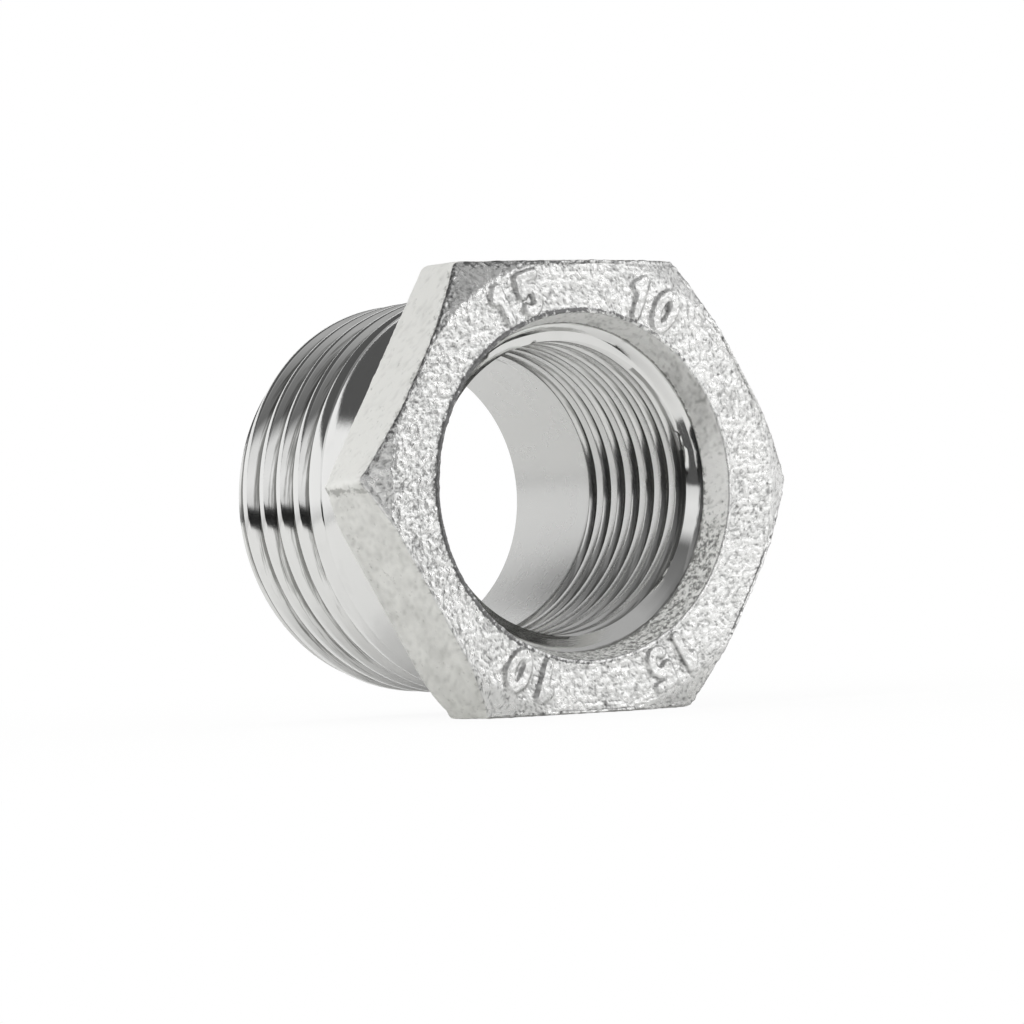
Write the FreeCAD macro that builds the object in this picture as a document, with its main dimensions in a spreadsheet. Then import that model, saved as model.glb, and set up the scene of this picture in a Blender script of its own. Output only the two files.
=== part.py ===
# Hexagon reducing bushing, 1/2 inch taper male thread outside and 3/8 inch parallel female thread inside.
# It is one casting: a hexagon head and a round tapered shank, bored through, chamfered and threaded.
# Millimetres. The thread axis runs along Y, with the head and its mouth at -Y and the thread end at +Y.
# The hexagon lies on one flat at Z = 0, and the origin is the middle of the bounding box's underside.

import FreeCAD, Part
import Sketcher
import math
import os

os.makedirs("parts", exist_ok=True)

doc = FreeCAD.newDocument("hex_bushing")

# Driving dimensions
# A depth is measured from the front face of the head, along the thread axis. Angles are in degrees.
dimensions = {
    "across_flats": 23.0,
    "head_length": 4.5,
    "overall_length": 18.6,
    "side_edge_radius": 0.5,
    "corner_cone_radius": 11.6,
    "front_cone_angle": 37.0,
    "shank_end_radius": 10.22,
    "taper_run_per_radius": 32.0,
    "shank_end_chamfer": 0.9,
    "shank_end_face_radius": 9.68,
    "male_pitch": 1.814,
    "thread_angle": 55.0,
    "thread_flat": 0.3,
    "groove_overrun": 0.15,
    "full_thread_start": 11.06,
    "thread_fade_turns": 1.4,
    "mouth_radius": 8.8,
    "recess_radius": 8.35,
    "recess_depth": 1.9,
    "bore_radius": 7.475,
    "bore_end_chamfer": 0.4,
}

sheet = doc.addObject("Spreadsheet::Sheet", "sizes")
for row, (alias, value) in enumerate(dimensions.items(), start=1):
    sheet.set(f"A{row}", alias)
    sheet.set(f"B{row}", str(value))
    sheet.setAlias(f"B{row}", alias)
doc.recompute()

body = doc.addObject("PartDesign::Body", "hex_bushing")
body.Label = "hex_bushing"


def origin_feature(role):
    """The plane or axis of the body's own origin that plays this role."""
    return next(item for item in body.Origin.OriginFeatures if item.Role == role)


def bind(target, path, formula):
    """Ties a property to a formula, in which each size stands in braces."""
    target.setExpression(path, formula.format_map({alias: f"sizes.{alias}" for alias in dimensions}))


def new_sketch(name, plane_role):
    """An empty sketch on one of the body's origin planes."""
    sketch = body.newObject("Sketcher::SketchObject", name)
    sketch.AttachmentSupport = [(origin_feature(plane_role), "")]
    sketch.MapMode = "FlatFace"
    return sketch


def closed_loop(sketch, count, radius):
    """A ring of straight lines joined end to end, drawn first as a regular polygon. Gives its first line."""
    first = sketch.GeometryCount
    step = 2 * math.pi / count
    ring = [FreeCAD.Vector(radius * math.cos(step * i), radius * math.sin(step * i), 0) for i in range(count)]
    for i in range(count):
        sketch.addGeometry(Part.LineSegment(ring[i], ring[(i + 1) % count]), False)
    for i in range(count):
        sketch.addConstraint(Sketcher.Constraint("Coincident", first + i, 2, first + (i + 1) % count, 1))
    return first


def section(name, corners):
    """A closed outline in the plane of the thread axis. Each corner is a pair of formulas:
    the distance along the axis from the front face and the distance away from the axis, None on it."""
    sketch = new_sketch(name, "YZ_Plane")
    first = closed_loop(sketch, len(corners), 5.0)
    for line, (along, away) in enumerate(corners, start=first):
        place = sketch.addConstraint(Sketcher.Constraint("DistanceX", -1, 1, line, 1, 1.0))
        bind(sketch, f"Constraints[{place}]", along)
        if away is None:
            sketch.addConstraint(Sketcher.Constraint("PointOnObject", line, 1, -1))
        else:
            place = sketch.addConstraint(Sketcher.Constraint("DistanceY", -1, 1, line, 1, 1.0))
            bind(sketch, f"Constraints[{place}]", away)
    return sketch


def turned(kind, name, profile):
    """A full turn of a section about the thread axis, added (Revolution) or cut away (Groove)."""
    feature = body.newObject(f"PartDesign::{kind}", name)
    feature.Profile = profile
    feature.ReferenceAxis = (origin_feature("Y_Axis"), [""])
    feature.Angle = 360.0
    return feature


def helical_cut(name, profile, length, angle, towards_head):
    """A right-hand helical cut of a groove's section. Its cone opens by this angle as it travels."""
    feature = body.newObject("PartDesign::SubtractiveHelix", name)
    feature.Profile = profile
    feature.ReferenceAxis = (origin_feature("Y_Axis"), [""])
    feature.Mode = "pitch-height-angle"
    feature.Reversed = towards_head
    bind(feature, "Pitch", "{male_pitch}")
    bind(feature, "Height", length)
    bind(feature, "Angle", angle)
    return feature


# Head: a hexagon with a flat below and above, padded back from the front face
head_outline = new_sketch("head_outline", "XZ_Plane")
side = closed_loop(head_outline, 6, dimensions["across_flats"] / math.sqrt(3))
rim = head_outline.addGeometry(Part.Circle(), True)
head_outline.addConstraint(Sketcher.Constraint("Coincident", rim, 3, -1, 1))
for i in range(6):
    head_outline.addConstraint(Sketcher.Constraint("PointOnObject", side + i, 1, rim))
for i in range(1, 6):
    head_outline.addConstraint(Sketcher.Constraint("Equal", side, side + i))
head_outline.addConstraint(Sketcher.Constraint("Horizontal", side + 1))
across = head_outline.addConstraint(Sketcher.Constraint("DistanceY", side + 4, 1, side + 1, 1, 1.0))
bind(head_outline, f"Constraints[{across}]", "{across_flats}")

head = body.newObject("PartDesign::Pad", "head")
head.Profile = head_outline
head.Reversed = True
bind(head, "Length", "{head_length}")
doc.recompute()

# The head's long edges are rounded as they are cast
edges_along_axis = [
    f"Edge{number}"
    for number, edge in enumerate(head.Shape.Edges, start=1)
    if abs(edge.Vertexes[0].Y - edge.Vertexes[-1].Y) > dimensions["head_length"] / 2
]
rounded_head = body.newObject("PartDesign::Fillet", "rounded_head")
rounded_head.Base = (head, edges_along_axis)
bind(rounded_head, "Radius", "{side_edge_radius}")

# Front cone: the head's corners are turned off to a cone in front
cone_reach = "{across_flats}"
front_drop = "({across_flats} - {corner_cone_radius}) * tan({front_cone_angle} * 1 deg)"
front_cone_section = section("front_cone_section", [
    ("0", "{corner_cone_radius}"),
    ("0", cone_reach),
    (front_drop, cone_reach),
])
front_cone = turned("Groove", "front_cone", front_cone_section)

# Shank: a round bar that narrows towards its end, one in sixteen on the diameter
root_radius = "({shank_end_radius} + ({overall_length} - {head_length}) / {taper_run_per_radius})"
shank_section = section("shank_section", [
    ("{head_length} / 2", None),
    ("{head_length} / 2", root_radius),
    ("{head_length}", root_radius),
    ("{overall_length}", "{shank_end_radius}"),
    ("{overall_length}", None),
])
shank = turned("Revolution", "shank", shank_section)

# Male thread: a flat-rooted groove winds out past the shank's end along the taper.
# Towards the head the same groove climbs out of the shank and leaves a plain neck.
half_angle = "tan({thread_angle} / 2 * 1 deg)"
groove_depth = f"(({{male_pitch}} / 2 - {{thread_flat}}) / {half_angle})"
wall_radius = "({shank_end_radius} + ({overall_length} - {full_thread_start}) / {taper_run_per_radius})"
mouth_half = f"(({{male_pitch}} - {{thread_flat}}) / 2 + {{groove_overrun}} * {half_angle})"
groove_section = section("groove_section", [
    (f"{{full_thread_start}} - {mouth_half}", f"{wall_radius} + {{groove_overrun}}"),
    ("{full_thread_start} - {thread_flat} / 2", f"{wall_radius} - {groove_depth}"),
    ("{full_thread_start} + {thread_flat} / 2", f"{wall_radius} - {groove_depth}"),
    (f"{{full_thread_start}} + {mouth_half}", f"{wall_radius} + {{groove_overrun}}"),
])
full_length = "{overall_length} - {full_thread_start} + {male_pitch}"
full_thread = helical_cut("full_thread", groove_section, full_length, "-atan(1 / {taper_run_per_radius})", False)
fade_length = "({thread_fade_turns} * {male_pitch})"
fade_angle = f"atan({groove_depth} / {fade_length} + 1 / {{taper_run_per_radius}})"
fading_thread = helical_cut("fading_thread", groove_section, fade_length, fade_angle, True)

# The thread's first turn is chamfered at the shank's end
end_chamfer_section = section("end_chamfer_section", [
    ("{overall_length} - {shank_end_chamfer}", root_radius),
    ("{overall_length} - {shank_end_chamfer}", "({shank_end_radius} + {shank_end_chamfer} / {taper_run_per_radius})"),
    ("{overall_length}", "{shank_end_face_radius}"),
    ("{overall_length}", root_radius),
])
end_chamfer = turned("Groove", "end_chamfer", end_chamfer_section)

# Bore: a cast recess in the mouth, a machined chamfer, the plain bore and its small end chamfer
chamfer_end = "({recess_depth} + {recess_radius} - {bore_radius})"
bore_section = section("bore_section", [
    ("0", None),
    ("0", "{mouth_radius}"),
    ("{recess_depth}", "{recess_radius}"),
    (chamfer_end, "{bore_radius}"),
    ("{overall_length} - {bore_end_chamfer}", "{bore_radius}"),
    ("{overall_length}", "{bore_radius} + {bore_end_chamfer}"),
    ("{overall_length}", None),
])
bore = turned("Groove", "bore", bore_section)

# The thread axis stands half the head's width above the underside, and the origin is halfway along it
bind(body, "Placement.Base.y", "-{overall_length} / 2")
bind(body, "Placement.Base.z", "{across_flats} / 2")
doc.recompute()

# Every object is sound, and each cut has taken material away, before anything is written
for item in doc.Objects:
    if "Invalid" in item.State or "Error" in item.State:
        raise RuntimeError(f"{item.Label} is {item.State}")
cuts = [front_cone, full_thread, fading_thread, end_chamfer, bore]
for after in cuts:
    before = after.BaseFeature
    if after.Shape.Volume >= before.Shape.Volume:
        raise RuntimeError(f"{after.Label} cuts nothing")
if body.Shape.isNull() or not body.Shape.isValid() or len(body.Shape.Solids) != 1:
    raise RuntimeError(f"{body.Label} is not one sound solid")

body.Shape.exportStep(f"parts/{body.Label}.step")
print(body.Label, round(body.Shape.Volume, 2), "mm3", body.Shape.BoundBox)
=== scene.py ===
import math

import bmesh
import bpy
import numpy as np
from mathutils import Matrix, Vector, noise


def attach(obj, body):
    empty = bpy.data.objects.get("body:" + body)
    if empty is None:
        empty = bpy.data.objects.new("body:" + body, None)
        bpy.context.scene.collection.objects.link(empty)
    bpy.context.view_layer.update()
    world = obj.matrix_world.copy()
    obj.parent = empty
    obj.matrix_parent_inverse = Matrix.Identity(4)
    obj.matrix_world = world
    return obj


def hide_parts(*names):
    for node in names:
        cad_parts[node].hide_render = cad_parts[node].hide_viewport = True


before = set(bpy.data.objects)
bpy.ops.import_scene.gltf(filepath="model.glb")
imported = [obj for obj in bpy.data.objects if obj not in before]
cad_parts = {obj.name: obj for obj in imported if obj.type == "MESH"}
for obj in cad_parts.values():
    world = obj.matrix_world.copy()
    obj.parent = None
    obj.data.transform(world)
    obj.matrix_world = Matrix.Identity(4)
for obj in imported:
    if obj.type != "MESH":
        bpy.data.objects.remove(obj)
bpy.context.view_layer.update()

scene = bpy.context.scene

# Camera. It looks at the mouth from the left, level with the fitting and a little turned about its own
# line of sight, through a long lens from a little over a quarter of a metre away.
AIM = Vector((0.000467, -0.001323, 0.010437))
CAMERA_AWAY = 0.2658
CAMERA_AZIMUTH = math.radians(-33.034)
CAMERA_ELEVATION = math.radians(-0.740)
CAMERA_ROLL = math.radians(-2.476)
PICTURE_WIDTH_PX = 1024
FOCAL_LENGTH_PX = 5127
SENSOR_WIDTH_MM = 36.0
NEAREST_SEEN = 0.01

towards_camera = Vector((
    math.sin(CAMERA_AZIMUTH) * math.cos(CAMERA_ELEVATION),
    -math.cos(CAMERA_AZIMUTH) * math.cos(CAMERA_ELEVATION),
    math.sin(CAMERA_ELEVATION),
))
level_right = Vector((math.cos(CAMERA_AZIMUTH), math.sin(CAMERA_AZIMUTH), 0.0))
level_up = towards_camera.cross(level_right)
right = level_right * math.cos(CAMERA_ROLL) + level_up * math.sin(CAMERA_ROLL)
up = level_up * math.cos(CAMERA_ROLL) - level_right * math.sin(CAMERA_ROLL)

camera_data = bpy.data.cameras.new("camera")
camera_data.sensor_width = SENSOR_WIDTH_MM
camera_data.lens = FOCAL_LENGTH_PX / PICTURE_WIDTH_PX * SENSOR_WIDTH_MM
camera_data.clip_start = NEAREST_SEEN
camera = bpy.data.objects.new("camera", camera_data)
turn = Matrix((right, up, towards_camera)).transposed().to_4x4()
camera.matrix_world = Matrix.Translation(AIM + towards_camera * CAMERA_AWAY) @ turn
scene.collection.objects.link(camera)
scene.camera = camera

# The bushing: one stainless casting with a hexagon head, a taper thread cut on its shank and a parallel
# thread tapped in its bore. The skin of the head is left as cast, and the threads, the bore and the
# mouth's chamfer are machined bright.

# Its sizes are in millimetres. Its skin is laid as rings round the thread axis. A point is given by its
# angle, from +X towards +Z, its distance from the axis and its depth behind the head's front face.
ACROSS_FLATS = 23.0
HEAD_LENGTH = 4.5
OVERALL_LENGTH = 18.6
SIDE_EDGE_RADIUS = 0.5
CORNER_CONE_RADIUS = 11.6
FRONT_CONE_SLOPE = math.tan(math.radians(37.0))
SHANK_END_RADIUS = 10.22
TAPER_RUN_PER_RADIUS = 32.0
END_CHAMFER = 0.9
END_FACE_RADIUS = 9.68
MOUTH_RADIUS = 8.8
RECESS_RADIUS = 8.35
RECESS_DEPTH = 1.9
BORE_RADIUS = 7.475
BORE_END_CHAMFER = 0.4

SECTORS = 6
HALF_SECTOR = 180 / SECTORS     # degrees
FLAT_STEPS = 116                # steps along one flat
CORNER_STEPS = 6                # steps along half of a corner's rounding
RIM_COLUMNS = SECTORS * (FLAT_STEPS + 2 * CORNER_STEPS)
TURNED_EVERY = 4                # machined rings keep one column in four
TURNED_COLUMNS = RIM_COLUMNS // TURNED_EVERY


def shank_radius(depth):
    """The shank's taper, one in sixteen on the diameter."""
    return SHANK_END_RADIUS + (OVERALL_LENGTH - depth) / TAPER_RUN_PER_RADIUS


def hexagon_columns():
    """Angle and distance of the points round the hexagon, evenly spaced along its flats and roundings."""
    half = ACROSS_FLATS / 2
    inner = half - SIDE_EDGE_RADIUS
    reach = inner * math.tan(math.radians(HALF_SECTOR))
    points = []
    for step in range(CORNER_STEPS):
        turn_back = math.radians(HALF_SECTOR) * (1 - step / CORNER_STEPS)
        points.append((inner + SIDE_EDGE_RADIUS * math.cos(turn_back),
                       -reach - SIDE_EDGE_RADIUS * math.sin(turn_back)))
    for step in range(FLAT_STEPS + 1):
        points.append((half, reach * (2 * step / FLAT_STEPS - 1)))
    for step in range(1, CORNER_STEPS):
        turn_on = math.radians(HALF_SECTOR) * step / CORNER_STEPS
        points.append((inner + SIDE_EDGE_RADIUS * math.cos(turn_on),
                       reach + SIDE_EDGE_RADIUS * math.sin(turn_on)))
    angles = []
    distances = []
    for sector in range(SECTORS):
        middle = math.radians(HALF_SECTOR * (1 + 2 * sector))
        for out, along in points:
            angles.append(middle + math.atan2(along, out))
            distances.append(math.hypot(out, along))
    return np.array(angles), np.array(distances)


rim_angles, rim_distances = hexagon_columns()
even_angles = rim_angles[0] + np.arange(RIM_COLUMNS) * 2 * math.pi / RIM_COLUMNS
turned_angles = even_angles[::TURNED_EVERY]

verts = []          # (x, depth, z) from the axis, in millimetres
skins = []          # how much of the cast skin each point carries, from 0 to 1
shade_and_grime = {}     # how rough and dark points are along the head's edges and in the thread roots, partly painted shade
faces = []
face_finishes = []  # index of the material of each face
CAST, SATIN, RECESS, TURNED, TAPPED, BORED = range(6)


def held(value):
    """A value held between 0 and 1."""
    return min(1.0, max(0.0, value))


def turned_between(angle, other):
    """How far one angle is turned from another, the short way round."""
    return (angle - other + math.pi) % (2 * math.pi) - math.pi


def add_ring(angle, distance, depth, skin):
    """Adds one ring of points and gives their numbers."""
    first = len(verts)
    angle, distance, depth = np.broadcast_arrays(angle, distance, depth)
    for a, r, d in zip(angle, distance, depth):
        verts.append((r * math.cos(a), d, r * math.sin(a)))
        skins.append(skin)
    return list(range(first, len(verts)))


def join_rings(one, other, finish):
    """Joins two rings with faces. One may have twice the points of the other."""
    many, few = (one, other) if len(one) >= len(other) else (other, one)
    ratio = len(many) // len(few)
    for i in range(len(few)):
        nxt = (i + 1) % len(few)
        if ratio == 1:
            faces.append((many[i], many[nxt], few[nxt], few[i]))
            face_finishes.append(finish)
        else:
            a, b, c = many[2 * i], many[2 * i + 1], many[(2 * i + 2) % len(many)]
            faces.extend([(a, b, few[i]), (b, few[nxt], few[i]), (b, c, few[nxt])])
            face_finishes.extend([finish] * 3)


# Head. Its outline is followed column by column from the recess over the face, the corner cone and the
# side to the neck. The edges are rounded as a casting's are, and one flat is cast a little out of true:
# it leans in towards the face and falls away at its two ends.
EDGE_SOFTNESS = 0.26
NECK_START = 5.3
LEANING_FLAT_ANGLE = math.radians(210)
LEANING_FLAT_SPAN = math.radians(36)
LEAN_AT_FACE = 0.66
FALL_AT_ENDS = 0.42
FALL_FROM = 0.55                # share of the way from the flat's middle to its end
CORNER_BLEND = 0.06
OUTLINE_SAMPLES = 1200
LEAST_WINDOW = 1e-6


def side_reach(column, depth):
    """Distance of the head's side from the axis at one column and depth."""
    regular = rim_distances[column]
    aside = rim_angles[column] - LEANING_FLAT_ANGLE
    if abs(aside) > LEANING_FLAT_SPAN:
        return regular
    half_side = ACROSS_FLATS / 2 * math.tan(math.radians(HALF_SECTOR))
    along = min(1.0, abs(ACROSS_FLATS / 2 * math.tan(aside)) / half_side)
    backwards = min(1.0, depth / HEAD_LENGTH)
    fall = FALL_AT_ENDS * max(0.0, (along - FALL_FROM) / (1 - FALL_FROM)) ** 2
    lean = LEAN_AT_FACE * (1 - backwards) + fall * backwards
    leaning = (ACROSS_FLATS / 2 - lean) / math.cos(aside)
    return -CORNER_BLEND * math.log(math.exp(-regular / CORNER_BLEND) + math.exp(-leaning / CORNER_BLEND))


def head_outline(column):
    """Corners of the head's outline at one column, how far along it they are, and where its stretches end."""
    face_reach = side_reach(column, 0.0)
    flat_edge = min(face_reach, CORNER_CONE_RADIUS)
    front_drop = (face_reach - flat_edge) * FRONT_CONE_SLOPE
    front_reach = side_reach(column, front_drop)
    rear_reach = side_reach(column, HEAD_LENGTH)
    corners = np.array([
        (RECESS_RADIUS, RECESS_DEPTH),
        (MOUTH_RADIUS, 0.0),
        (flat_edge, 0.0),
        (front_reach, front_drop),
        (rear_reach, HEAD_LENGTH),
        (shank_radius(HEAD_LENGTH), HEAD_LENGTH),
        (shank_radius(NECK_START), NECK_START),
    ])
    runs = np.concatenate(([0.0], np.cumsum(np.hypot(*np.diff(corners, axis=0).T))))
    stops = {
        "mouth_before": runs[1] - EDGE_SOFTNESS,
        "mouth_after": runs[1] + EDGE_SOFTNESS,
        "rim_before": runs[2] - EDGE_SOFTNESS,
        "rim_after": runs[3] + EDGE_SOFTNESS,
        "rear_before": runs[4] - EDGE_SOFTNESS,
        "rear_after": runs[4] + EDGE_SOFTNESS,
        "neck_before": runs[5] - EDGE_SOFTNESS,
        "neck_after": runs[6],
    }
    return corners, runs, stops


def softened(corners, runs, where):
    """Points on the outline, each the mean of a short stretch round it, which rounds the edges."""
    fine = np.linspace(0.0, runs[-1], OUTLINE_SAMPLES)
    step = fine[1]
    result = []
    for axis in (0, 1):
        line = np.interp(fine, runs, corners[:, axis])
        total = np.concatenate(([0.0], np.cumsum((line[1:] + line[:-1]) / 2) * step))
        window = np.minimum(EDGE_SOFTNESS, np.minimum(where, runs[-1] - where))
        ahead = np.interp(where + window, fine, total)
        behind = np.interp(where - window, fine, total)
        plain = np.interp(where, fine, line)
        mean = (ahead - behind) / np.maximum(2 * window, LEAST_WINDOW)
        result.append(np.where(window > LEAST_WINDOW, mean, plain))
    return result


# Darkening and roughness along the head's outline. The rim is roughest round its upper left, the mouth's
# edge on its left, and the recess at its lower right. At the mouth's edge and in the recess's foot the
# darkening is painted shade. A dark line runs back along the head's left corner, and faint grime lies on the
# flats.
MOUTH_EDGE_WIDTH = 0.46
MOUTH_EDGE_SHADE = 0.95
MOUTH_EDGE_SWING = 0.55
MOUTH_LIGHTEST_ANGLE = -0.3
RIM_WIDTH = 0.17
RIM_DARKENING = 0.62
ROUGH_RIM_WIDTH = 1.0
ROUGH_RIM_DARKENING = 0.22          # on top of the rim's own
ROUGH_RIM_ANGLE = math.radians(130)
ROUGH_RIM_REACH = math.radians(50)
ROUGH_RIM_FADE = math.radians(20)
FOOT_WIDTH = 0.2
RECESS_DARKENING = 0.68
RECESS_DARKENING_ANGLE = math.radians(-62)
RECESS_DARKENING_FROM = 0.35
RECESS_DARKENING_FADE = 0.4
FLAT_GRIME = 0.2
LEFT_CORNER_DARKENING = 0.62
LEFT_CORNER_ANGLE = math.radians(179.3)
LEFT_CORNER_WIDTH = math.radians(1.3)
DARKENING_CLEARANCE = 0.1           # bare metal between an edge and the darkening beside it
DARKENING_FADE = 0.2


def outline_shade_and_grime(angle, runs, where):
    """How rough and dark places on the outline are at one angle. At the mouth's edge and in the recess's foot
    the darkness is painted shade.
    """
    rough = held((ROUGH_RIM_REACH - abs(turned_between(angle, ROUGH_RIM_ANGLE))) / ROUGH_RIM_FADE)
    rim_width = RIM_WIDTH + (ROUGH_RIM_WIDTH - RIM_WIDTH) * rough
    rim_level = RIM_DARKENING + ROUGH_RIM_DARKENING * rough
    rim = rim_level * np.clip(1 - np.abs(where - runs[3]) / rim_width, 0, 1)
    # painted shade along the mouth's edge, darkest on its left
    mouth_level = MOUTH_EDGE_SHADE - MOUTH_EDGE_SWING * math.cos(angle - MOUTH_LIGHTEST_ANGLE)
    mouth = mouth_level * np.clip(1 - np.abs(where - runs[1]) / MOUTH_EDGE_WIDTH, 0, 1)
    # painted shade in the foot of the recess, where it meets the mouth's chamfer
    foot = np.clip(1 - where / FOOT_WIDTH, 0, 1)
    low_right = held((math.cos(angle - RECESS_DARKENING_ANGLE) - RECESS_DARKENING_FROM) / RECESS_DARKENING_FADE)
    recess = RECESS_DARKENING * low_right * np.clip((runs[1] - DARKENING_CLEARANCE - where) / DARKENING_FADE, 0, 1)
    corner = max(0.0, 1 - abs(angle - LEFT_CORNER_ANGLE) / LEFT_CORNER_WIDTH)
    flat_level = FLAT_GRIME + LEFT_CORNER_DARKENING * corner
    flat = flat_level * np.clip((where - runs[3] - DARKENING_CLEARANCE) / DARKENING_FADE, 0, 1)
    return np.max([rim, mouth, foot, recess, flat], axis=0)


RECESS_SKIN = 0.55
head_stretches = (
    # name, rows in it, one column kept in how many, share of the cast skin, finish
    ("mouth_before", 9, 2, RECESS_SKIN, RECESS),
    ("mouth_after", 5, 1, 0.8, CAST),
    ("rim_before", 27, 1, 1.0, CAST),
    ("rim_after", 15, 1, 1.0, CAST),
    ("rear_before", 15, 2, 0.35, SATIN),
    ("rear_after", 7, 2, 0.5, SATIN),
    ("neck_before", 3, TURNED_EVERY, 0.4, SATIN),
    ("neck_after", 5, TURNED_EVERY, 0.0, TURNED),
)

row_count = 1 + sum(rows for _, rows, _, _, _ in head_stretches)
head_radius = np.zeros((row_count, RIM_COLUMNS))
head_depth = np.zeros((row_count, RIM_COLUMNS))
head_shade_and_grime = np.zeros((row_count, RIM_COLUMNS))
for column in range(RIM_COLUMNS):
    corners, runs, stops = head_outline(column)
    where = [0.0]
    for name, rows, _, _, _ in head_stretches:
        where.extend(np.linspace(where[-1], stops[name], rows + 1)[1:])
    where = np.array(where)
    head_radius[:, column], head_depth[:, column] = softened(corners, runs, where)
    head_shade_and_grime[:, column] = outline_shade_and_grime(rim_angles[column], runs, where)


def head_ring(row, evenness, keep, skin):
    """One ring of the head. The columns move from the hexagon's own angles to even ones."""
    angle = rim_angles * (1 - evenness) + even_angles * evenness
    ring = add_ring(angle[::keep], head_radius[row, ::keep], head_depth[row, ::keep], skin)
    shade_and_grime.update(zip(ring, head_shade_and_grime[row, ::keep]))
    return ring


recess_ring = head_ring(0, 1.0, TURNED_EVERY, RECESS_SKIN)
ring = recess_ring
row = 0
for name, rows, keep, skin, finish in head_stretches:
    for step in range(1, rows + 1):
        evenness = {"mouth_before": 1 - step / rows, "neck_before": step / rows, "neck_after": 1.0}
        row += 1
        nxt = head_ring(row, evenness.get(name, 0.0), keep, skin)
        join_rings(ring, nxt, finish)
        ring = nxt
neck_ring = ring

# Threads. A thread's skin is laid along its own helix, so that each row follows a crest, a flank or a
# root, and it is cut off square where it meets the rings before and behind it.
THREAD_HALF_ANGLE = 27.5        # degrees
ROOT_STEP = 0.55                # place of a point on the root's rounding, as a share of its width
CREST_STEP = 0.5                # the same on the crest's rounding
CREST_STEP_DROP = 0.27          # and its drop there, as a share of the whole
LEAST_GROOVE_WIDTH = 0.12       # share of its full width that a fading groove keeps
SEAM = 1e-4                     # a point this near to a ring is the ring's own
SHADE_IN_ROOTS = 2.3


def thread_rows(pitch, depth, root_radius, crest_radius):
    """Places across one groove, from its middle, with how deep each lies under the crest. The last
    is the middle of the crest, and has no depth of its own."""
    flank_rise = 1 / math.tan(math.radians(THREAD_HALF_ANGLE))
    rounding = math.radians(90 - THREAD_HALF_ANGLE)
    root_end = root_radius * math.sin(rounding)
    flank_start = depth - root_radius * (1 - math.cos(rounding))
    flank_end = crest_radius * (1 - math.cos(rounding))
    flank_top = root_end + (flank_start - flank_end) / flank_rise
    crest_width = crest_radius * math.sin(rounding)
    root_step = root_end * ROOT_STEP
    half = [
        (root_step, depth - root_radius + math.sqrt(root_radius ** 2 - root_step ** 2)),
        (root_end, flank_start),
        ((root_end + flank_top) / 2, (flank_start + flank_end) / 2),
        (flank_top, flank_end),
        (flank_top + crest_width * CREST_STEP, flank_end * CREST_STEP_DROP),
        (flank_top + crest_width, 0.0),
    ]
    if flank_top + crest_width >= pitch / 2:
        raise ValueError("the crests leave no room")
    return [(-u, d) for u, d in reversed(half)] + [(0.0, depth)] + half + [(pitch / 2, None)]


def groove_cut_at(depth, angle, pitch, middle, rows, strength):
    """How deep the thread is cut under its crests at any point."""
    turns = (depth - middle) / pitch + angle / (2 * math.pi)
    groove = round(turns)
    across = (turns - groove) * pitch
    full = strength(middle + pitch * (groove - angle / (2 * math.pi)))
    if full <= 0:
        return 0.0
    places = [u for u, d in rows if d is not None]
    cuts = [d for _, d in rows if d is not None]
    return full * float(np.interp(across / full, places, cuts, left=0.0, right=0.0))


def lay_thread(start, end, pitch, middle, rows, strength, surface, first_ring, last_ring, finishes):
    """Lays a right-hand thread between two rings. middle is a groove's depth at angle zero, strength
    gives how fully a groove is cut at a depth, and surface gives the distance from the axis for a
    depth and a cut. finishes are those of the grooves and of what is left between and past them."""
    count = len(rows)
    grooves_before = math.ceil((middle - start) / pitch) + 1
    grooves = grooves_before + math.ceil((end - middle) / pitch) + 2
    deepest = max(d for _, d in rows if d is not None)
    numbers = {}

    def vertex(column, line):
        """The point of a line of the helix at a column. Beyond the ends it is the ring's own point."""
        if column == TURNED_COLUMNS:
            return vertex(0, line - count)
        key = (column, line)
        if key in numbers:
            return numbers[key]
        groove, place = divmod(line, count)
        angle = turned_angles[column]
        centre = middle + pitch * (groove - grooves_before - angle / (2 * math.pi))
        across, cut = rows[place]
        full = strength(centre)
        if cut is None:
            depth = centre + pitch / 2
            cut = 0.0
        else:
            depth = centre + across * max(full, LEAST_GROOVE_WIDTH)
        if depth <= start + SEAM:
            number = first_ring[column]
        elif depth >= end - SEAM:
            number = last_ring[column]
        else:
            number = len(verts)
            radius = surface(depth, cut * full)
            verts.append((radius * math.cos(angle), depth, radius * math.sin(angle)))
            skins.append(0.0)
            # painted shade in the thread roots, darker where the groove is cut deeper
            shade_and_grime[number] = SHADE_IN_ROOTS * cut * full / deepest
        numbers[key] = number
        return number

    for column in range(TURNED_COLUMNS):
        for line in range(grooves * count):
            around = ((column, line), (column + 1, line), (column + 1, line + 1), (column, line + 1))
            corner_numbers = []
            for corner in around:
                number = vertex(*corner)
                if number not in corner_numbers:
                    corner_numbers.append(number)
            if len(corner_numbers) < 3:
                continue
            centre = middle + pitch * (line // count - grooves_before - column / TURNED_COLUMNS)
            on_crest = line % count >= count - 2 or strength(centre) == 0
            faces.append(tuple(corner_numbers))
            face_finishes.append(finishes[1] if on_crest else finishes[0])


# Male thread: 14 turns to the inch, full from near the middle of the shank to its end. Towards the head
# the groove climbs out of the shank and leaves a plain neck. The end is chamfered.
MALE_PITCH = 1.814
MALE_DEPTH = 1.16
MALE_ROOT_RADIUS = 0.1
MALE_CREST_RADIUS = 0.09
MALE_FULL_FROM = 11.06
MALE_FADE = 1.4 * MALE_PITCH
MALE_MIDDLE = MALE_FULL_FROM + MALE_PITCH / 4
MALE_START = 7.8
NECK_RINGS = 3


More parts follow.
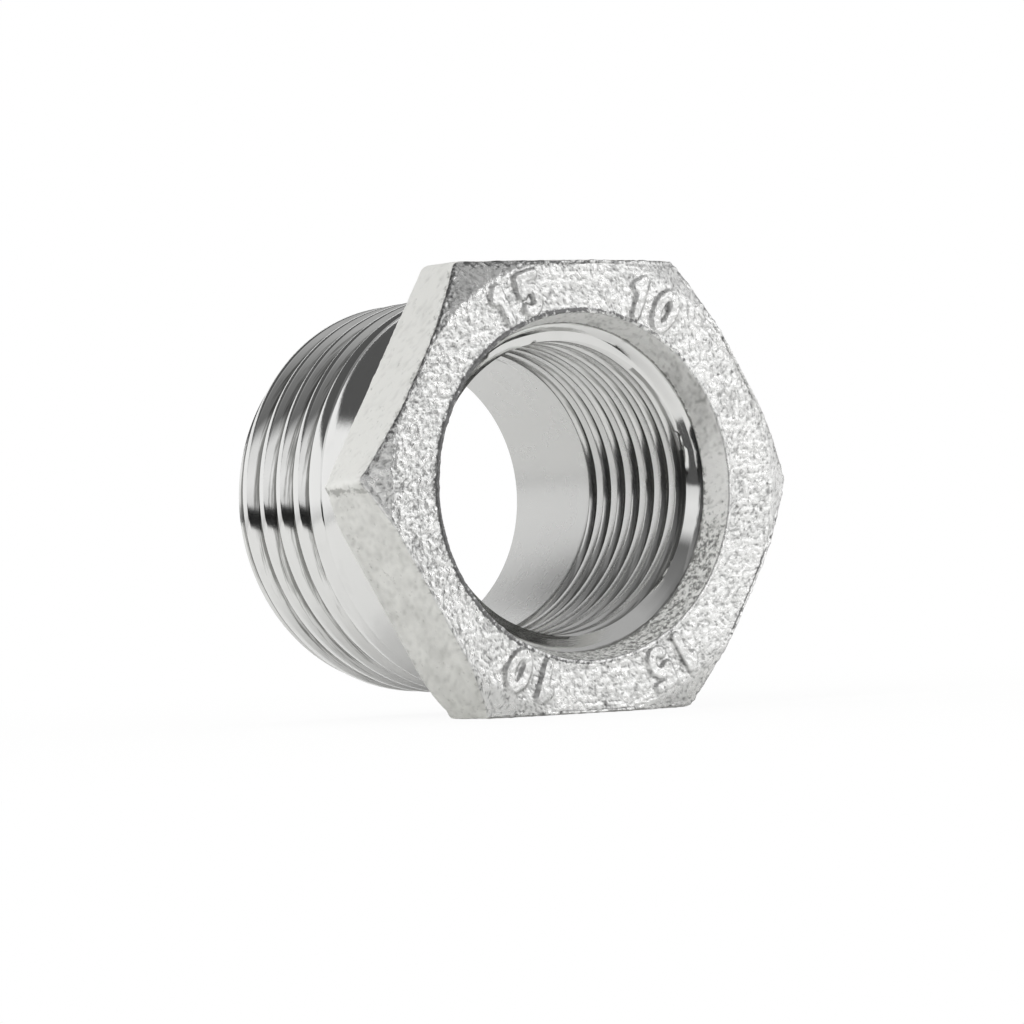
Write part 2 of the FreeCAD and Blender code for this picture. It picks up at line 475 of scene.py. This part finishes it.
def male_strength(depth):
    """How fully the male thread is cut, from 0 to 1."""
    return held((depth - MALE_FULL_FROM + MALE_FADE) / MALE_FADE)


def male_surface(depth, cut):
    """Distance of the shank's surface from the axis, under the taper and the end chamfer."""
    chamfered = END_FACE_RADIUS + (OVERALL_LENGTH - depth) * (
        (shank_radius(OVERALL_LENGTH - END_CHAMFER) - END_FACE_RADIUS) / END_CHAMFER)
    return min(shank_radius(depth) - cut, chamfered)


male_rows = thread_rows(MALE_PITCH, MALE_DEPTH, MALE_ROOT_RADIUS, MALE_CREST_RADIUS)
ring = neck_ring
for depth in np.linspace(NECK_START, MALE_START, NECK_RINGS + 1)[1:]:
    nxt = add_ring(turned_angles, shank_radius(depth), depth, 0.0)
    join_rings(ring, nxt, TURNED)
    ring = nxt
end_cuts = [
    groove_cut_at(OVERALL_LENGTH, angle, MALE_PITCH, MALE_MIDDLE, male_rows, male_strength)
    for angle in turned_angles
]
end_distances = [male_surface(OVERALL_LENGTH, cut) for cut in end_cuts]
end_ring = add_ring(turned_angles, end_distances, OVERALL_LENGTH, 0.0)
lay_thread(MALE_START, OVERALL_LENGTH, MALE_PITCH, MALE_MIDDLE, male_rows, male_strength,
           male_surface, ring, end_ring, (TURNED, TURNED))

# End face, the bore's small end chamfer and the plain bore
END_FACE_MIDDLE = 8.9
BORE_RINGS = (16.2, 14.2)       # depths that divide the plain bore
FEMALE_END = 12.0
ring = add_ring(turned_angles, END_FACE_MIDDLE, OVERALL_LENGTH, 0.0)
join_rings(end_ring, ring, TURNED)
bore_outline = [(BORE_RADIUS + BORE_END_CHAMFER, OVERALL_LENGTH)]
for depth in (OVERALL_LENGTH - BORE_END_CHAMFER, *BORE_RINGS, FEMALE_END):
    bore_outline.append((BORE_RADIUS, depth))
for distance, depth in bore_outline:
    nxt = add_ring(turned_angles, distance, depth, 0.0)
    join_rings(ring, nxt, BORED)
    ring = nxt
bore_ring = ring

# Female thread: 19 turns to the inch, tapped through the mouth's chamfer, with the tap's lead at its end
FEMALE_PITCH = 1.337
FEMALE_DEPTH = 0.64
FEMALE_ROOT_RADIUS = 0.06
FEMALE_CREST_RADIUS = 0.05
FEMALE_MIDDLE = 2.765
FEMALE_FULL_TO = 11.1
FEMALE_FADE = 0.6 * FEMALE_PITCH
CHAMFER_END = RECESS_DEPTH + RECESS_RADIUS - BORE_RADIUS
CHAMFER_RINGS = 7


def female_strength(depth):
    """How fully the female thread is cut, from 0 to 1."""
    return held((FEMALE_FULL_TO + FEMALE_FADE - depth) / FEMALE_FADE)


def female_surface(depth, cut):
    """Distance of the bore's surface from the axis, outside the mouth's chamfer."""
    chamfer = RECESS_RADIUS - (depth - RECESS_DEPTH)
    return max(BORE_RADIUS + cut, chamfer)


female_rows = thread_rows(FEMALE_PITCH, FEMALE_DEPTH, FEMALE_ROOT_RADIUS, FEMALE_CREST_RADIUS)
ring = recess_ring
for depth in np.linspace(RECESS_DEPTH, CHAMFER_END, CHAMFER_RINGS + 1)[1:]:
    cuts = [
        groove_cut_at(depth, angle, FEMALE_PITCH, FEMALE_MIDDLE, female_rows, female_strength)
        for angle in turned_angles
    ]
    nxt = add_ring(turned_angles, [female_surface(depth, cut) for cut in cuts], depth, 0.0)
    join_rings(ring, nxt, TURNED)
    ring = nxt
lay_thread(CHAMFER_END, FEMALE_END, FEMALE_PITCH, FEMALE_MIDDLE, female_rows, female_strength,
           female_surface, ring, bore_ring, (TAPPED, BORED))

# Mesh of the bushing
AXIS_HEIGHT = ACROSS_FLATS / 2
MM = 0.001
SHARP_ANGLE = math.radians(29.0)
mesh = bpy.data.meshes.new("hex_bushing_body")
mesh.from_pydata(verts, [], faces)
mesh.polygons.foreach_set("material_index", face_finishes)
mesh.polygons.foreach_set("use_smooth", [True] * len(faces))
mesh.update()
bm = bmesh.new()
bm.from_mesh(mesh)
bmesh.ops.recalc_face_normals(bm, faces=bm.faces)
bm.normal_update()
for edge in bm.edges:
    machined = any(face.material_index >= TURNED for face in edge.link_faces)
    edge.smooth = not (machined and edge.calc_face_angle() > SHARP_ANGLE)
outward = [vert.normal.copy() for vert in bm.verts]
bm.to_mesh(mesh)
bm.free()

# Cast relief: rounded lumps with sharp creases between them, and plain raised size numbers worn soft.
# The field of the face is sunk a little, so that the numbers stand no higher than the machined size.
FIELD_SINK = 0.17
LUMP_SIZE = 0.42
LUMP_HEIGHT = 0.085
LUMP_OCTAVES = 3
WAVE_SIZE = 1.2
WAVE_HEIGHT = 0.05
CREASE_WIDTH = 0.34
LEANING_FLAT_SHADE = 0.42
LEANING_FLAT_MATCH = 0.9        # how well a point's normal has to fit the leaning flat's
FACING_FRONT = 0.5
NUMBER_HEIGHT = 1.8
NUMBER_WIDTH = 1.15
NUMBER_STEP = 1.7
NUMBER_BASE = 9.3
NUMBER_MIDDLE = NUMBER_BASE + NUMBER_HEIGHT / 2
NUMBER_SPAN = 0.35              # radians that a number reaches round the face from its middle
NUMBER_PROUD = 0.19
STROKE = 0.22
STROKE_SLOPE = 0.14
SHADOW_ROUND_NUMBERS = 0.4
SHADE_OFF_NUMBERS = 0.6


def bow(middle, reach, first, last, steps):
    """Points along part of an ellipse, from one angle to another in degrees."""
    angles = [math.radians(first + (last - first) * i / steps) for i in range(steps + 1)]
    return [(middle[0] + reach[0] * math.cos(a), middle[1] + reach[1] * math.sin(a)) for a in angles]


NUMERALS = {
    "0": [bow((0.5, 0.5), (0.4, 0.5), 0, 360, 16)],
    "1": [[(0.25, 0.78), (0.55, 1.0), (0.55, 0.0)]],
    "5": [[(0.88, 1.0), (0.2, 1.0), (0.14, 0.56)] + bow((0.48, 0.33), (0.4, 0.33), 140, -140, 10)],
}
NUMBERS = (("15", 112.0), ("10", 64.0), ("15", -62.0), ("10", -112.0))


def stroke_segments():
    """Every straight piece of every numeral, laid flat round the face: x along the arc, y outwards."""
    segments = []
    for text, at in NUMBERS:
        for place, numeral in enumerate(text):
            shift = (place - (len(text) - 1) / 2) * NUMBER_STEP
            for line in NUMERALS[numeral]:
                scaled = [((x - 0.5) * NUMBER_WIDTH + shift, y * NUMBER_HEIGHT) for x, y in line]
                segments.extend((math.radians(at), a, b) for a, b in zip(scaled, scaled[1:]))
    return segments


segments = stroke_segments()


def number_relief(angle, distance):
    """Height of the raised numbers, from 0 to 1, at a point of the face."""
    nearest = math.inf
    for at, a, b in segments:
        turned_by = turned_between(angle, at)
        if abs(turned_by) > NUMBER_SPAN:
            continue
        x = -turned_by * NUMBER_MIDDLE
        y = distance - NUMBER_BASE
        run = (b[0] - a[0], b[1] - a[1])
        along = held(((x - a[0]) * run[0] + (y - a[1]) * run[1]) / (run[0] ** 2 + run[1] ** 2))
        nearest = min(nearest, math.hypot(x - a[0] - along * run[0], y - a[1] - along * run[1]))
    edge = held((STROKE + STROKE_SLOPE - nearest) / STROKE_SLOPE)
    return edge * edge * (3 - 2 * edge)


def cast_relief(place):
    """How far the cast skin lies under its highest lumps, and how deep in a crease, from 0 to 1."""
    lumps = noise.turbulence(place / LUMP_SIZE, LUMP_OCTAVES, True)
    wave = noise.noise(place / WAVE_SIZE)
    under = LUMP_HEIGHT * (1.0 - min(1.0, lumps)) + WAVE_HEIGHT * (0.5 + 0.5 * wave)
    return under, max(0.0, 1.0 - lumps / CREASE_WIDTH)


leaning_way = Vector((math.cos(LEANING_FLAT_ANGLE), 0.0, math.sin(LEANING_FLAT_ANGLE)))
painted_shades = []
for number, vert in enumerate(mesh.vertices):
    skin = skins[number]
    if skin == 0:
        painted_shades.append(0.0)
        continue
    place = vert.co.copy()
    under, crease = cast_relief(place)
    depth = under * skin
    leaning = max(0.0, (outward[number].dot(leaning_way) - LEANING_FLAT_MATCH) / (1 - LEANING_FLAT_MATCH))
    # painted shade in the creases of the cast skin and on the leaning flat, which faces down
    darkening = crease * skin + LEANING_FLAT_SHADE * leaning
    facing = -outward[number].y
    if facing > FACING_FRONT:
        raised = number_relief(math.atan2(place.z, place.x), math.hypot(place.x, place.z))
        depth += (FIELD_SINK - NUMBER_PROUD * raised) * facing
        # a painted shadow round the slopes of the raised numbers, and less painted shade on their tops
        on_its_slope = 4 * raised * (1 - raised)
        darkening += SHADOW_ROUND_NUMBERS * on_its_slope - SHADE_OFF_NUMBERS * raised * darkening
    painted_shades.append(darkening)
    vert.co = place - outward[number] * max(0.0, depth)

painted_shade_marks = mesh.attributes.new("painted_shade", "FLOAT", "POINT")
painted_shade_marks.data.foreach_set("value", painted_shades)
edge_marks = mesh.attributes.new("rough_shade_and_grime", "FLOAT", "POINT")
edge_marks.data.foreach_set("value", [shade_and_grime.get(number, 0.0) for number in range(len(verts))])
for vert in mesh.vertices:
    x, depth, z = vert.co
    vert.co = (x * MM, (depth - OVERALL_LENGTH / 2) * MM, (z + AXIS_HEIGHT) * MM)
mesh.update()

bushing = bpy.data.objects.new("hex_bushing_body", mesh)
scene.collection.objects.link(bushing)
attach(bushing, "root")
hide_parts("hex_bushing")


def new_group(name, inputs, outputs):
    """An empty node group with named number or vector inputs and number outputs."""
    group = bpy.data.node_groups.new(name, "ShaderNodeTree")
    for label, kind in inputs:
        group.interface.new_socket(label, in_out="INPUT", socket_type=kind)
    for label in outputs:
        group.interface.new_socket(label, in_out="OUTPUT", socket_type="NodeSocketFloat")
    return group, group.nodes.new("NodeGroupInput").outputs, group.nodes.new("NodeGroupOutput").inputs


def feed(links, value, socket):
    """Gives a socket a plain number, or a link where the value is another node's output."""
    if isinstance(value, (int, float)):
        socket.default_value = value
    else:
        links.new(value, socket)


def math_node(nodes, links, operation, first, second):
    """A sum, product or the like of two values. Gives its result."""
    node = nodes.new("ShaderNodeMath")
    node.operation = operation
    feed(links, first, node.inputs[0])
    feed(links, second, node.inputs[1])
    return node.outputs["Value"]


def noise_node(nodes, links, place, scale, detail, roughness=0.5):
    """A cloudy pattern. Gives its value."""
    node = nodes.new("ShaderNodeTexNoise")
    links.new(place, node.inputs["Vector"])
    feed(links, scale, node.inputs["Scale"])
    node.inputs["Detail"].default_value = detail
    node.inputs["Roughness"].default_value = roughness
    return node.outputs["Fac"]


def stretched(nodes, links, value, given, wanted=(0.0, 1.0), kind="LINEAR"):
    """A value moved from one range to another, and held in it. Gives the result."""
    node = nodes.new("ShaderNodeMapRange")
    node.interpolation_type = kind
    for label, limit in zip(("From Min", "From Max", "To Min", "To Max"), (*given, *wanted)):
        node.inputs[label].default_value = limit
    links.new(value, node.inputs["Value"])
    return node.outputs["Result"]


# Cast grain: the fine grit of the mould, with small pits and faint stains
PITS_PER_GRAIN = 0.5
PIT_EDGE = (0.04, 0.16)
PIT_DEPTH = 0.5
PIT_STAIN = 0.7
BLOTCHES_PER_GRAIN = 0.3
STAIN_FROM = 0.35
STAIN_CONTRAST = 2.6
cast_grain, given, wanted = new_group(
    "cast_grain",
    (("Place", "NodeSocketVector"), ("Grains per metre", "NodeSocketFloat")),
    ("Height", "Stains"))
nodes, links = cast_grain.nodes, cast_grain.links
grains = given["Grains per metre"]
grit = noise_node(nodes, links, given["Place"], grains, detail=3.0, roughness=0.65)
pits = nodes.new("ShaderNodeTexVoronoi")
links.new(given["Place"], pits.inputs["Vector"])
links.new(math_node(nodes, links, "MULTIPLY", grains, PITS_PER_GRAIN), pits.inputs["Scale"])
pit_mask = stretched(nodes, links, pits.outputs["Distance"], PIT_EDGE, (1.0, 0.0))
sunk = math_node(nodes, links, "MULTIPLY", pit_mask, PIT_DEPTH)
links.new(math_node(nodes, links, "SUBTRACT", grit, sunk), wanted["Height"])
blotch_scale = math_node(nodes, links, "MULTIPLY", grains, BLOTCHES_PER_GRAIN)
blotches = noise_node(nodes, links, given["Place"], blotch_scale, detail=4.0)
stain = math_node(nodes, links, "SUBTRACT", blotches, STAIN_FROM)
stain = math_node(nodes, links, "MULTIPLY", stain, STAIN_CONTRAST)
stain = math_node(nodes, links, "MAXIMUM", stain, 0.0)
stained_pits = math_node(nodes, links, "MULTIPLY", pit_mask, PIT_STAIN)
links.new(math_node(nodes, links, "ADD", stain, stained_pits), wanted["Stains"])

# Turning marks: fine rings left by the tool, round the thread axis
RING_STRETCH = (0.02, 1.0, 0.02)    # draws the pattern out across the axis
STREAKS_PER_METRE = 700.0
turning_marks, given, wanted = new_group(
    "turning_marks",
    (("Place", "NodeSocketVector"), ("Rings per metre", "NodeSocketFloat")),
    ("Height", "Streaks"))
nodes, links = turning_marks.nodes, turning_marks.links
flatten = nodes.new("ShaderNodeVectorMath")
flatten.operation = "MULTIPLY"
flatten.inputs[1].default_value = RING_STRETCH
links.new(given["Place"], flatten.inputs[0])
rings = noise_node(nodes, links, flatten.outputs["Vector"], given["Rings per metre"],
                   detail=4.0, roughness=0.7)
links.new(rings, wanted["Height"])
links.new(noise_node(nodes, links, given["Place"], STREAKS_PER_METRE, detail=3.0), wanted["Streaks"])

# Finishes. A finish turns dark and rough where its own marks, the painted shade in the creases of the cast
# skin and the painted shade and grime along the edges and in the thread roots add up. The marks also break up
# the outline of this darkening.
DARKENING_SEEN = (0.16, 1.1)
EDGE_BREAK_UP = 2.2
EDGE_DARKENING_FROM = 1.6
EDGE_CONTRAST = 2.2
OWN_MARKS = 0.3


def mixed(nodes, links, factor, first, second):
    """A mix of two plain colours. Gives the result."""
    node = nodes.new("ShaderNodeMix")
    node.data_type = "RGBA"
    node.inputs["A"].default_value = (*first, 1)
    node.inputs["B"].default_value = (*second, 1)
    links.new(factor, node.inputs["Factor"])
    return node.outputs["Result"]


def steel(name, group, per_metre, mask, bump_height, light, dark, smooth, rough, metal):
    """A stainless finish. mask names which of its group's marks turns it dark, and metal is how metallic
    it looks. smooth and rough are its roughness where it is clean and where painted shade and grime make it
    darkest."""
    material = bpy.data.materials.new(name)
    material.use_nodes = True
    nodes, links = material.node_tree.nodes, material.node_tree.links
    shader = nodes["Principled BSDF"]
    shader.inputs["Metallic"].default_value = metal
    place = nodes.new("ShaderNodeTexCoord")
    marks = nodes.new("ShaderNodeGroup")
    marks.node_tree = group
    marks.inputs[1].default_value = per_metre
    links.new(place.outputs["Object"], marks.inputs["Place"])
    painted_shade = nodes.new("ShaderNodeAttribute")
    painted_shade.attribute_name = "painted_shade"
    rough_shade_and_grime = nodes.new("ShaderNodeAttribute")
    rough_shade_and_grime.attribute_name = "rough_shade_and_grime"
    broken = math_node(nodes, links, "MULTIPLY", marks.outputs["Height"], EDGE_BREAK_UP)
    broken = math_node(nodes, links, "ADD", rough_shade_and_grime.outputs["Fac"], broken)
    broken = math_node(nodes, links, "SUBTRACT", broken, EDGE_DARKENING_FROM)
    broken = math_node(nodes, links, "MAXIMUM", broken, 0.0)
    broken = math_node(nodes, links, "MULTIPLY", broken, EDGE_CONTRAST)
    own = math_node(nodes, links, "MULTIPLY", marks.outputs[mask], OWN_MARKS)
    # painted shade from the mesh, with the edges' and roots' painted shade and grime and the finish's own
    # marks
    darkening = math_node(nodes, links, "ADD", painted_shade.outputs["Fac"], broken)
    darkening = math_node(nodes, links, "ADD", darkening, own)
    tint = mixed(nodes, links, stretched(nodes, links, darkening, DARKENING_SEEN), light, dark)
    links.new(tint, shader.inputs["Base Color"])
    links.new(stretched(nodes, links, darkening, (0.0, 1.0), (smooth, rough)), shader.inputs["Roughness"])
    bump = nodes.new("ShaderNodeBump")
    bump.inputs["Distance"].default_value = bump_height
    links.new(marks.outputs["Height"], bump.inputs["Height"])
    links.new(bump.outputs["Normal"], shader.inputs["Normal"])
    return material


for finish in (
    # in the order of CAST, SATIN, RECESS, TURNED, TAPPED and BORED
    dict(name="cast_skin", group=cast_grain, per_metre=4200.0, mask="Stains", bump_height=0.00007,
         light=(0.84, 0.84, 0.83), dark=(0.2, 0.2, 0.2), smooth=0.26, rough=0.42, metal=1.0),
    dict(name="satin_flat", group=cast_grain, per_metre=3000.0, mask="Stains", bump_height=0.00005,
         light=(0.84, 0.84, 0.81), dark=(0.42, 0.42, 0.4), smooth=0.45, rough=0.55, metal=0.25),
    dict(name="blasted_recess", group=cast_grain, per_metre=4200.0, mask="Stains", bump_height=0.00004,
         light=(0.94, 0.94, 0.92), dark=(0.24, 0.24, 0.23), smooth=0.5, rough=0.6, metal=0.2),
    dict(name="turned_thread", group=turning_marks, per_metre=12000.0, mask="Streaks", bump_height=0.000003,
         light=(0.78, 0.78, 0.77), dark=(0.26, 0.26, 0.25), smooth=0.08, rough=0.1, metal=1.0),
    # darker than the turned thread: its torn cut, and partly painted shade for the inside of the bore
    dict(name="tapped_thread", group=turning_marks, per_metre=12000.0, mask="Streaks", bump_height=0.000003,
         light=(0.72, 0.72, 0.71), dark=(0.3, 0.3, 0.29), smooth=0.12, rough=0.16, metal=1.0),
    dict(name="bored_wall", group=turning_marks, per_metre=7000.0, mask="Streaks", bump_height=0.000004,
         light=(0.63, 0.63, 0.62), dark=(0.55, 0.55, 0.54), smooth=0.26, rough=0.34, metal=0.9),
):
    mesh.materials.append(steel(**finish))

# Floor: a small round table top, pale and matt. It is white where the camera looks past the fitting,
# keeps the fitting's shadow, and is clear from below.
TABLE_RADIUS = 0.11
TABLE_SIDES = 96
TABLE_COLOUR = (0.85, 0.85, 0.84, 1)
TABLE_SEEN_IN_METAL = (0.85, 0.85, 0.85)
GLOW_IN_METAL = 0.2
FADE_TO_WHITE = (0.015, 0.09)   # distances from the table's middle
WHITE_SHARE = (0.93, 1.0)

floor_mesh = bpy.data.meshes.new("floor")
bm = bmesh.new()
bmesh.ops.create_circle(bm, cap_ends=True, segments=TABLE_SIDES, radius=TABLE_RADIUS)
bm.to_mesh(floor_mesh)
bm.free()
floor = bpy.data.objects.new("floor", floor_mesh)
scene.collection.objects.link(floor)


def cleared_nodes(owner):
    """The nodes and links of a material or world, with nothing in them."""
    owner.use_nodes = True
    owner.node_tree.nodes.clear()
    return owner.node_tree.nodes, owner.node_tree.links


def shared_out(nodes, links, factor, first, second):
    """One shader where the factor is 0 and another where it is 1. Gives the result."""
    node = nodes.new("ShaderNodeMixShader")
    links.new(factor, node.inputs["Fac"])
    links.new(first, node.inputs[1])
    links.new(second, node.inputs[2])
    return node.outputs["Shader"]


floor_material = bpy.data.materials.new("table_top")
nodes, links = cleared_nodes(floor_material)
path = nodes.new("ShaderNodeLightPath")
place = nodes.new("ShaderNodeTexCoord")
away = nodes.new("ShaderNodeVectorMath")
away.operation = "LENGTH"
links.new(place.outputs["Object"], away.inputs[0])
lit = nodes.new("ShaderNodeBsdfDiffuse")
lit.inputs["Color"].default_value = TABLE_COLOUR
seen = nodes.new("ShaderNodeEmission")
in_camera = path.outputs["Is Camera Ray"]
links.new(mixed(nodes, links, in_camera, TABLE_SEEN_IN_METAL, (1, 1, 1)), seen.inputs["Color"])
white_share = stretched(nodes, links, away.outputs["Value"], FADE_TO_WHITE, WHITE_SHARE, "SMOOTHSTEP")
share = math_node(nodes, links, "MAXIMUM",
                  math_node(nodes, links, "MULTIPLY", in_camera, white_share),
                  math_node(nodes, links, "MULTIPLY", path.outputs["Is Glossy Ray"], GLOW_IN_METAL))
above = shared_out(nodes, links, share, lit.outputs["BSDF"], seen.outputs["Emission"])
clear = nodes.new("ShaderNodeBsdfTransparent")
facing = nodes.new("ShaderNodeNewGeometry")
either = shared_out(nodes, links, facing.outputs["Backfacing"], above, clear.outputs["BSDF"])
output = nodes.new("ShaderNodeOutputMaterial")
links.new(either, output.inputs["Surface"])
floor_mesh.materials.append(floor_material)

# Light: a white tent stands round the table, with a dim top. In front, where the camera stands, there
# is a dark gap under its hem, which the polished threads show as a dark line just under the height of
# their axis. The camera sees plain white behind the fitting.
front_levels = (
    # sine of the height above the table, brightness
    (-1.0, 0.6), (-0.125, 0.6), (-0.115, 0.01), (0.03, 0.01), (0.042, 0.8), (0.2, 0.95),
    (0.42, 0.85), (0.54, 0.16), (1.0, 0.3),
)
round_levels = (
    (-1.0, 0.6), (-0.1, 0.6), (-0.05, 0.85), (0.0, 1.0), (0.55, 1.0), (0.65, 0.48), (1.0, 0.48),
)
AWAY_FROM_FRONT = (0.75, 0.66, 0.0)
FRONT_ENDS = (-0.6, -0.25)

world = bpy.data.worlds.new("studio")
scene.world = world
nodes, links = cleared_nodes(world)
place = nodes.new("ShaderNodeTexCoord")
direction = nodes.new("ShaderNodeSeparateXYZ")
links.new(place.outputs["Generated"], direction.inputs["Vector"])
ramp_place = stretched(nodes, links, direction.outputs["Z"], (-1.0, 1.0))


def tent_ramp(levels):
    """The tent's brightness by height, on one side of the table."""
    ramp = nodes.new("ShaderNodeValToRGB")
    elements = ramp.color_ramp.elements
    while len(elements) < len(levels):
        elements.new(0.5)
    for element, (rise, brightness) in zip(elements, levels):
        element.position = (rise + 1) / 2
        element.color = (brightness, brightness, brightness, 1)
    links.new(ramp_place, ramp.inputs["Fac"])
    return ramp.outputs["Color"]


from_front = nodes.new("ShaderNodeVectorMath")
from_front.operation = "DOT_PRODUCT"
from_front.inputs[1].default_value = AWAY_FROM_FRONT
links.new(place.outputs["Generated"], from_front.inputs[0])
round_tent = nodes.new("ShaderNodeMix")
round_tent.data_type = "RGBA"
links.new(stretched(nodes, links, from_front.outputs["Value"], FRONT_ENDS), round_tent.inputs["Factor"])
links.new(tent_ramp(front_levels), round_tent.inputs["A"])
links.new(tent_ramp(round_levels), round_tent.inputs["B"])
tent = nodes.new("ShaderNodeBackground")
links.new(round_tent.outputs["Result"], tent.inputs["Color"])
white = nodes.new("ShaderNodeBackground")
white.inputs["Color"].default_value = (1, 1, 1, 1)
path = nodes.new("ShaderNodeLightPath")
either = shared_out(nodes, links, path.outputs["Is Camera Ray"], tent.outputs["Background"],
                    white.outputs["Background"])
output = nodes.new("ShaderNodeOutputWorld")
links.new(either, output.inputs["Surface"])

# Lamps: three soft boxes. Only the one in front on the right is seen in the metal.
LAMPS_AIM = Vector((0, 0, 0.01))


def soft_box(name, place, size, power, shows_in_metal):
    """A rectangular lamp that faces the fitting."""
    data = bpy.data.lights.new(name, "AREA")
    data.shape = "RECTANGLE"
    data.size, data.size_y = size
    data.energy = power
    lamp = bpy.data.objects.new(name, data)
    lamp.location = place
    lamp.rotation_euler = (LAMPS_AIM - Vector(place)).to_track_quat("-Z", "Y").to_euler()
    lamp.visible_glossy = shows_in_metal
    scene.collection.objects.link(lamp)


soft_box("front_right_box", place=(0.25, -0.4, 0.16), size=(0.25, 0.12), power=0.15, shows_in_metal=True)
soft_box("left_box", place=(-0.36, -0.16, 0.38), size=(0.25, 0.25), power=1.1, shows_in_metal=False)
soft_box("overhead_box", place=(0.0, 0.12, 0.45), size=(0.3, 0.3), power=0.6, shows_in_metal=False)


# Cards: dark sheets that only the metal shows, painted dark reflections that glow faintly. Two stand
# before the mouth and darken the tapped thread and its chamfer. The third hangs behind and darkens the
# upper side of the shank.
def dark_card(name, middle, facing, width, low, high, low_level, high_level):
    """An upright dark card that only the metal shows, as a painted reflection. Its level may change towards
    its top.
    """
    across = (facing[1] * width / 2, -facing[0] * width / 2)
    card_mesh = bpy.data.meshes.new(name)
    card_mesh.from_pydata([
        (middle[0] - across[0], middle[1] - across[1], low),
        (middle[0] + across[0], middle[1] + across[1], low),
        (middle[0] + across[0], middle[1] + across[1], high),
        (middle[0] - across[0], middle[1] - across[1], high),
    ], [], [(0, 1, 2, 3)])
    card = bpy.data.objects.new(name, card_mesh)
    scene.collection.objects.link(card)
    card_material = bpy.data.materials.new(name)
    nodes, links = cleared_nodes(card_material)
    path = nodes.new("ShaderNodeLightPath")
    place = nodes.new("ShaderNodeTexCoord")
    height = nodes.new("ShaderNodeSeparateXYZ")
    links.new(place.outputs["Object"], height.inputs["Vector"])
    upper_part = (low + (high - low) / 3, high)
    dark = nodes.new("ShaderNodeEmission")
    links.new(stretched(nodes, links, height.outputs["Z"], upper_part, (low_level, high_level)),
              dark.inputs["Strength"])
    clear = nodes.new("ShaderNodeBsdfTransparent")
    either = shared_out(nodes, links, path.outputs["Is Glossy Ray"], clear.outputs["BSDF"],
                        dark.outputs["Emission"])
    output = nodes.new("ShaderNodeOutputMaterial")
    links.new(either, output.inputs["Surface"])
    card_mesh.materials.append(card_material)


dark_card("mouth_card", middle=(-0.0085, -0.034), facing=(0.374, 0.927), width=0.015,
          low=0.0005, high=0.03, low_level=0.03, high_level=0.3)
dark_card("chamfer_card", middle=(-0.0114, -0.02), facing=(0.838, 0.545), width=0.0065,
          low=0.0005, high=0.0118, low_level=0.1, high_level=0.1)
dark_card("back_card", middle=(-0.01, 0.045), facing=(0.0, 1.0), width=0.2,
          low=0.0335, high=0.16, low_level=0.1, high_level=0.3)

scene.view_settings.view_transform = "Standard"
